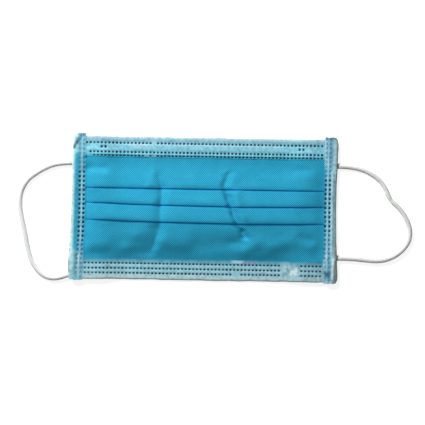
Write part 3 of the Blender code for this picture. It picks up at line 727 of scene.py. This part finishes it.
def white_card():
    """Matt white table, even and without grain. It also glows a little by itself, as a
    lit photo table does, so that the mask's shadow stays faint."""
    material, shader = new_material("matt_white_card", 0.95, 0.0)
    clouds = cloth_noise(material, 8.0, 1.0)
    colour = mix_colours(material, clouds, to_linear("#F4F4F4"), to_linear("#F5F5F5"))
    material.node_tree.links.new(colour, shader.inputs["Base Color"])
    seen = add_node(material, "ShaderNodeLightPath", {}, {}).outputs["Is Camera Ray"]
    glow = add_node(material, "ShaderNodeMath", {"operation": "MULTIPLY"}, {0: seen, 1: TABLE_GLOW})
    shader.inputs["Emission Color"].default_value = (1.0, 1.0, 1.0, 1.0)
    material.node_tree.links.new(glow.outputs[0], shader.inputs["Emission Strength"])
    return material


# Camera, light and table

def place_camera():
    """Straight above the mask, turned by the photograph's one degree."""
    lens = bpy.data.cameras.new("camera_above")
    lens.sensor_width = 36.0
    lens.lens = 36.0 * CAMERA_HEIGHT / FRAME_WIDTH
    lens.clip_start = 0.01
    lens.clip_end = 20.0
    camera = bpy.data.objects.new("camera_above", lens)
    x, y = CAMERA_PLACE
    camera.location = Vector((x, y, CAMERA_HEIGHT + FACE_LEVEL)) * MILLIMETRE
    camera.rotation_euler = (0.0, 0.0, math.radians(CAMERA_TURN))
    bpy.context.scene.collection.objects.link(camera)
    bpy.context.scene.camera = camera


def place_lights():
    """One broad soft light beyond the nose edge and an even fill from all round."""
    lamp = bpy.data.lights.new("soft_light", "AREA")
    lamp.shape = "SQUARE"
    lamp.size = KEY_SIZE * MILLIMETRE
    lamp.energy = KEY_POWER
    key = bpy.data.objects.new("soft_light", lamp)
    key.location = Vector(KEY_PLACE) * MILLIMETRE
    key.rotation_euler = (-key.location).to_track_quat("-Z", "Y").to_euler()
    bpy.context.scene.collection.objects.link(key)
    world = bpy.data.worlds.new("even_fill")
    world.use_nodes = True
    world.node_tree.nodes["Background"].inputs["Strength"].default_value = FILL_STRENGTH
    world.node_tree.nodes["Background"].inputs["Color"].default_value = (1.0, 1.0, 1.0, 1.0)
    bpy.context.scene.world = world
    bpy.context.scene.view_settings.view_transform = "Standard"


def build_table():
    """Plain white table top under the mask."""
    mesh = bmesh.new()
    bmesh.ops.create_grid(mesh, x_segments=1, y_segments=1, size=2.0)
    data = bpy.data.meshes.new("table_top")
    mesh.to_mesh(data)
    mesh.free()
    data.materials.append(white_card())
    table = bpy.data.objects.new("table_top", data)
    bpy.context.scene.collection.objects.link(table)


# Ear loops

def tube(line, sections, around):
    """Closed tube along a line; each section is a half width and a half thickness."""
    lengths = run_lengths(line)
    steps = [step / around for step in range(around + 1)]
    mesh = flat_cloth(steps, lengths)
    mark_cloth(mesh)
    for vert in mesh.verts:
        row = row_at(lengths, vert.co.y)
        before = line[max(row - 1, 0)]
        after = line[min(row + 1, len(line) - 1)]
        ahead = (after - before).normalized()
        sideways = Vector((ahead.y, -ahead.x, 0.0)).normalized()
        upwards = sideways.cross(ahead)
        angle = math.tau * vert.co.x
        half_width, half_thickness = sections[row]
        offset = sideways * math.cos(angle) * half_width + upwards * math.sin(angle) * half_thickness
        vert.co = line[row] + offset
    bmesh.ops.remove_doubles(mesh, verts=mesh.verts, dist=0.0001)
    rims = [edge for edge in mesh.edges if edge.is_boundary]
    bmesh.ops.holes_fill(mesh, edges=rims, sides=0)
    bmesh.ops.recalc_face_normals(mesh, faces=mesh.faces)
    return mesh


def build_ear_loop(name, node, route, material, pinches):
    """Elastic cord on the table; a pinch is its place along the cord, reach and depth."""
    points = [(x * 1000, y * 1000, CORD_LEVEL) for x, y in route]
    line = smooth_line(points, 0.7)
    lengths = run_lengths(line)
    sections = []
    for place in lengths:
        radius = CORD_DIAMETER / 2 * (1 + 0.05 * noise.noise(Vector((place / 6.0, 1.3, 0.0))))
        for middle, reach, depth in pinches:
            radius *= 1 - depth * math.exp(-((place - middle) / reach) ** 2)
        sections.append((radius, min(radius, CORD_LEVEL)))
    mesh = tube(line, sections, 28)
    piece = finish_piece(name, mesh, material, [node])


def build_cord_end(name, node, side, y, turn, material):
    """End of a cord, pressed flat where it is welded under its binding."""
    angle = math.radians(turn)
    inwards = Vector((-side * math.cos(angle), math.sin(angle), 0.0))
    tip = Vector((side * (outer_edge(side, y) + 2.0), y - 2.0 * math.sin(angle), CORD_LEVEL))
    shapes = ((0.0, 1.55, 1.5), (0.8, 1.62, 1.4), (1.6, 1.9, 1.0), (2.4, 2.2, 0.6), (4.0, 2.3, 0.56),
              (6.0, 2.3, 0.6), (8.0, 2.3, 0.56), (9.4, 2.25, 0.58), (9.8, 2.0, 0.4))
    line = [tip + inwards * shape[0] for shape in shapes]
    sections = [(shape[1], shape[2]) for shape in shapes]
    finish_piece(name, tube(line, sections, 24), material, [node], levels=1)


# Pleated plies

def cloth_line():
    """Middle line of the laminate in section, from the nose edge round its pleats down."""
    points = [(NOSE_EDGE - 1.2, LAMINATE_IN_HEM), (NOSE_EDGE - 5.0, LAMINATE_IN_HEM)]
    points += [(42.0, LAMINATE_IN_HEM), (37.5, LAMINATE_IN_HEM), (34.0, LAMINATE_IN_HEM)]
    points += [(31.5, LAMINATE_IN_HEM), (28.0, 1.1), (24.0, 1.4), (20.0, 2.05)]
    for fold in FOLDS:
        points += [(fold + above, LIP_LEVEL + height) for above, height in PLEAT_SECTION]
        points.append((fold - 2.0, LIP_LEVEL - 1.0))
    points[-1] = (FOLDS[-1] - 2.0, LIP_LEVEL - 1.3)
    points += [(-16.0, 1.45), (-22.0, 1.4), (-28.0, 1.25), (-32.5, LAMINATE_IN_HEM + 0.05)]
    points += [(-36.0, LAMINATE_IN_HEM), (-41.0, LAMINATE_IN_HEM), (CHIN_EDGE + 1.2, LAMINATE_IN_HEM)]
    return smooth_line(points, 0.95)


def wire_ridge(x, y):
    """Rise of the cloth over the nose wire."""
    ends = 1 - smooth_step((abs(x) - WIRE_HALF_LENGTH) / 2.6)
    return ends * (1 - smooth_step((abs(y - WIRE_PLACE) - 1.1) / 1.3))


def build_ply(name, offset, column_count, material):
    """One ply of the pleated laminate, beside its middle line by the offset."""
    line = cloth_line()
    lengths = run_lengths(line)
    columns = [-1 + 2 * step / column_count for step in range(column_count + 1)]
    mesh = flat_cloth(columns, lengths)
    layer = mesh.loops.layers.uv.new("cloth")
    for face in mesh.faces:
        for loop in face.loops:
            loop[layer].uv = (loop.vert.co.x * 86.0, loop.vert.co.y)
    fold_shade_tint = mesh.verts.layers.float.new("fold_shade_tint")
    spots = []
    for index, spot in enumerate(line):
        ahead = (line[min(index + 1, len(line) - 1)] - line[max(index - 1, 0)]).normalized()
        spots.append((spot.x + ahead.y * offset, spot.y - ahead.x * offset))
    for vert in mesh.verts:
        y, level = spots[row_at(lengths, vert.co.y)]
        # Painted shade: how strongly the blue tint is laid, highest just below each fold where the lip's
        # shadow falls
        from_fold = min(abs(y - fold + 0.3) for fold in FOLDS)
        vert[fold_shade_tint] = math.exp(-(from_fold / 0.6) ** 2)
        side = -1 if vert.co.x < 0 else 1
        x = vert.co.x * (outer_edge(side, y) - 1.6)
        level = max(LOWEST + (level - LOWEST) * press(x) + relief(x, y), LOWEST + offset * 0.5)
        vert.co = Vector((x, y + fold_drift(x, y), level))
    return finish_piece(name, mesh, material, ["pleated_panel"], wall=PLY_WALL)


# Hems with their weld dots

def dot_lines():
    """Left and right sides of every dot across a hem, with the plain ends."""
    end_lines = [79.8, 81.5, 83.0, 84.5, HEM_LINES_END]
    lines = [-line for line in reversed(end_lines)]
    for number in range(DOT_COUNT):
        middle = FIRST_DOT + number * DOT_PITCH
        lines += [middle - DOT_SIZE / 2, middle + DOT_SIZE / 2]
    return lines + end_lines


def hem_section(run):
    """Place on a hem's section: drop from its outer edge and height, front positive."""
    radius = (HEM_FRONT - HEM_BACK) / 2
    middle = (HEM_FRONT + HEM_BACK) / 2
    bend = math.pi * radius / 2
    if abs(run) < bend:
        return radius - radius * math.cos(run / radius), middle + radius * math.sin(run / radius)
    return radius + abs(run) - bend, HEM_FRONT if run > 0 else HEM_BACK


def build_hem(name, node, outer, outward, drops, dot_rows, missed, tones, material):
    """Hem strip folded round the laminate's edge, with rows of weld dots pressed in."""
    radius = (HEM_FRONT - HEM_BACK) / 2
    bend = math.pi * radius / 2
    front = sorted(drop - radius + bend for drop in drops)
    round_edge = [-bend * 0.5, 0.0, bend * 0.5]
    rows = [-run for run in reversed(front)] + round_edge + front
    mesh = flat_cloth(dot_lines(), rows)
    fused = mesh.verts.layers.float.new("fused")
    tone = mesh.verts.layers.float_color.new("tone")
    dots = []
    strength = {}
    for face in mesh.faces:
        middle = face.calc_center_median()
        number = round((middle.x - FIRST_DOT) / DOT_PITCH)
        near = abs(middle.x - FIRST_DOT - number * DOT_PITCH) < 0.1 and 0 <= number < DOT_COUNT
        drop = hem_section(middle.y)[0]
        found = [index for index, place in enumerate(dot_rows) if abs(drop - place) < 0.15]
        if not near or not found or (found[0], number) in missed:
            continue
        if len(dot_rows) == 4 and found[0] == LOCK_ROW and number not in LOCK_NUMBERS:
            continue
        dots.append(face)
        strength[face] = min(0.97 + 0.2 * noise.noise(Vector((number * 1.7, found[0] * 5.3, outer))), 1.0)
    bmesh.ops.inset_individual(mesh, faces=dots, thickness=DOT_RING, depth=0.0)
    for face in dots:
        for vert in face.verts:
            vert[fused] = strength[face]
    mark_cloth(mesh)
    for vert in mesh.verts:
        drop, level = hem_section(vert.co.y)
        inwards = 1 if vert.co.y > 0 else -1
        y = outer - outward * drop
        x = vert.co.x
        side = -1 if x < 0 else 1
        if abs(x) > HEM_NARROWING:
            room = outer_edge(side, y) - HEM_END_GAP - HEM_NARROWING
            share = (abs(x) - HEM_NARROWING) / (HEM_LINES_END - HEM_NARROWING)
            x = side * (HEM_NARROWING + share * room)
        place_tone = table_tone(tones if inwards > 0 else BACK_TONES, drop)
        if inwards > 0:
            place_tone = brushed(place_tone, HEM_STROKES, x, y)
        film = to_linear(FILM_TONE if inwards > 0 else BACK_FILM_TONE)
        vert[tone] = between(place_tone, film, min(vert[fused], 1.0))
        level -= inwards * DOT_DEPTH * vert[fused]
        if outward > 0 and vert.co.y > bend:
            level += WIRE_RISE * wire_ridge(x, y)
        level -= inwards * INNER_DROP * smooth_step((drop - max(drops) + INNER_SLOPE) / INNER_SLOPE)
        if drop > max(drops) - 0.2:
            y += outward * 0.15 * noise.noise(Vector((x / 3.0, outer, 0.0)))
        if drop < 0.5:
            y += outward * 0.35 * noise.noise(Vector((x / 7.0, outer, 5.0)))
        level += 0.12 * noise.noise(Vector((x / 6.0, y / 4.0, 2.0))) * min(drop / 3.0, 1.0)
        # The first mark is the patch of torn weld, where the cloth is crumpled
        if inwards > 0:
            level += 0.35 * stroke_share(x, y, HEM_STROKES[0]) * noise.noise(Vector((x, y, 1.0)) * 0.9)
        level = max(LOWEST + (level - LOWEST) * press(x), LOWEST_EDGE)
        vert.co = Vector((x, y + fold_drift(x, y), level + relief(x, y)))
    return finish_piece(name, mesh, material, [node], wall=PLY_WALL, levels=1)


# Side bindings

def tape_lines():
    """Heights of the grid lines along a binding and of the middles of its dots."""
    middles = []
    middle = -HALF_HEIGHT + 1.6
    while middle < HALF_HEIGHT - 1.0:
        middles.append(middle)
        middle += TAPE_PITCH
    lines = [-HALF_HEIGHT, -HALF_HEIGHT + 0.35]
    for middle in middles:
        lines += [middle - TAPE_DOT_HEIGHT / 2, middle + TAPE_DOT_HEIGHT / 2, middle + TAPE_PITCH / 2]
    lines = [line for line in lines if line < HALF_HEIGHT - 0.5]
    return lines + [HALF_HEIGHT - 0.35, HALF_HEIGHT], middles


def cloth_top(line, x, y):
    """Height of the cloth's face under the inner edge of a binding."""
    near = [spot.y for spot in line if abs(spot.x - y) < 0.9]
    level = max(near, default=LAMINATE_IN_HEM) + PLY_OFFSET + PLY_WALL / 2
    if y > NOSE_EDGE - 13.9 or y < CHIN_EDGE + 13.7:
        level = HEM_FRONT + PLY_WALL / 2
    return LOWEST + (level - LOWEST) * press(x) + relief(x, y)


def tape_tone(side, width, y, x):
    """Tone of the front of a binding."""
    tips = LEFT_TIPS if side < 0 else RIGHT_TIPS
    share = max(smooth_step((y - tips[0]) / tips[1]), smooth_step((tips[2] - y) / tips[3]))
    middle = table_tone(LEFT_TAPE_TONES if side < 0 else RIGHT_TAPE_TONES, width)
    tip = table_tone(LEFT_TIP_TONES if side < 0 else RIGHT_TIP_TONES, width)
    tone = between(middle, tip, share)
    # Painted highlight: a lighter line along the small raised ridge between the dot columns
    ridge = math.exp(-((width - 2.4) / RIDGE_WIDTH) ** 2)
    tone = between(tone, to_linear(RIDGE_HIGHLIGHT_TONE), ridge)
    return brushed(tone, LEFT_TAPE_STROKES if side < 0 else RIGHT_TAPE_STROKES, x, y)


def build_binding(name, node, side, material):
    """Tape folded round one bound side, with two columns of weld dots."""
    rows, middles = tape_lines()
    line = cloth_line()
    flap = list(TAPE_WIDTHS)
    columns = [width - TAPE_HALF for width in flap] + [-1.8, -1.1, 0.0, 1.1, 1.8]
    columns += [TAPE_HALF - width for width in reversed(flap)]
    mesh = flat_cloth(columns, rows)
    fused = mesh.verts.layers.float.new("fused")
    tone = mesh.verts.layers.float_color.new("tone")
    mark_cloth(mesh)
    clarity = LEFT_CLARITY if side < 0 else RIGHT_CLARITY
    dots = []
    for face in mesh.faces:
        middle = face.calc_center_median()
        width = TAPE_HALF - abs(middle.x)
        in_column = min(abs(width - column) for column in TAPE_COLUMNS) < 0.1
        if in_column and min(abs(middle.y - place) for place in middles) < 0.1:
            dots.append(face)
    strength = {face: table_value(clarity, 1, face.calc_center_median().y) for face in dots}
    bmesh.ops.inset_individual(mesh, faces=dots, thickness=DOT_RING, depth=0.0)
    for face in dots:
        for vert in face.verts:
            vert[fused] = strength[face]
    for vert in mesh.verts:
        y = vert.co.y
        width = TAPE_HALF - abs(vert.co.x)
        lift = side_lift(side * SIDE_END, y)
        back = lift - 0.2
        front = lift + 1.9
        inner = table_value(edge_rows(side), 2, y)
        radius = (front - back) / 2
        bend_start = outer_edge(side, y) - radius
        inwards = 1 if vert.co.x > 0 else -1
        if width <= TAPE_WIDTHS[-1] + 0.1:
            stretch = (bend_start - inner - TAPE_FIRM) / (TAPE_WIDTHS[-1] - TAPE_FIRM)
            x = inner + min(width, TAPE_FIRM) + max(width - TAPE_FIRM, 0.0) * stretch
            level = back
            if inwards > 0:
                seat = cloth_top(line, side * inner, y - fold_drift(side * inner, y)) + TAPE_WALL / 2 + 0.04
                level = seat + (front - seat) * smooth_step(width / TAPE_RISE_RUN)
            level -= inwards * TAPE_DOT_DEPTH * vert[fused]
            level += 0.12 * math.exp(-((width - TAPE_RIDGE) / 0.5) ** 2) * max(inwards, 0)
        else:
            angle = vert.co.x / TAPE_BEND * math.pi / 2
            x = bend_start + radius * math.cos(angle)
            level = (front + back) / 2 + radius * math.sin(angle)
        if vert.co.x > -1.0:
            puffs = LEFT_PUFFS if side < 0 else RIGHT_PUFFS
            level += sum(stroke_share(side * x, y, puff) * puff[5] for puff in puffs)
            place_tone = tape_tone(side, x - inner, y, side * x)
        else:
            place_tone = to_linear(BACK_TAPE_TONE)
        film = to_linear(TAPE_FILM if inwards > 0 else BACK_TAPE_FILM)
        vert[tone] = between(place_tone, film, vert[fused])
        level += 0.16 * noise.noise(Vector((x / 2.2, y / 3.0, side * 4.0)))
        x += 0.2 * noise.noise(Vector((y / 3.0, side * 2.0, 1.0))) * smooth_step((width - 6.0) / 3.0)
        tip = smooth_step((abs(y) - HALF_HEIGHT + 1.0) / 1.0)
        bow = 0.4 * noise.noise(Vector((x / 1.8, y / 20.0, side * 7.0))) * tip
        vert.co = Vector((side * x, y + bow, max(level, LOWEST_EDGE)))
    if side < 0:
        bmesh.ops.reverse_faces(mesh, faces=mesh.faces)
    return finish_piece(name, mesh, material, [node], wall=TAPE_WALL, levels=1)


# Put the scene together

place_camera()
elastic = knitted_elastic()
build_ear_loop("left_elastic_cord", "ear_loop_left", LEFT_ROUTE, elastic, ())
build_ear_loop("right_elastic_cord", "ear_loop_right", RIGHT_ROUTE, elastic, (CORD_KINK,))
for end in LOOP_ENDS:
    build_cord_end(*end, elastic)
place_lights()
build_table()

blue_ply = build_ply("blue_outer_ply", PLY_OFFSET, 168, blue_spunbond())
white_ply = build_ply("white_inner_ply", -PLY_OFFSET, 168, white_spunbond())
hem_cloth = welded_cloth("welded_hem_cloth", 0.8)
tape_cloth = welded_cloth("welded_binding_tape", 0.8)
nose_hem = build_hem("nose_edge_hem", "top_hem", NOSE_EDGE, 1, NOSE_DROPS, NOSE_DOT_ROWS, NOSE_MISSED,
                     NOSE_TONES, hem_cloth)
chin_hem = build_hem("chin_edge_hem", "bottom_hem", CHIN_EDGE, -1, CHIN_DROPS, CHIN_DOT_ROWS, CHIN_MISSED,
                     CHIN_TONES, hem_cloth)
left_tape = build_binding("left_binding_tape", "side_binding_left", -1, tape_cloth)
right_tape = build_binding("right_binding_tape", "side_binding_right", 1, tape_cloth)

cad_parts["nose_wire"].data.materials.clear()
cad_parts["nose_wire"].data.materials.append(coated_wire())
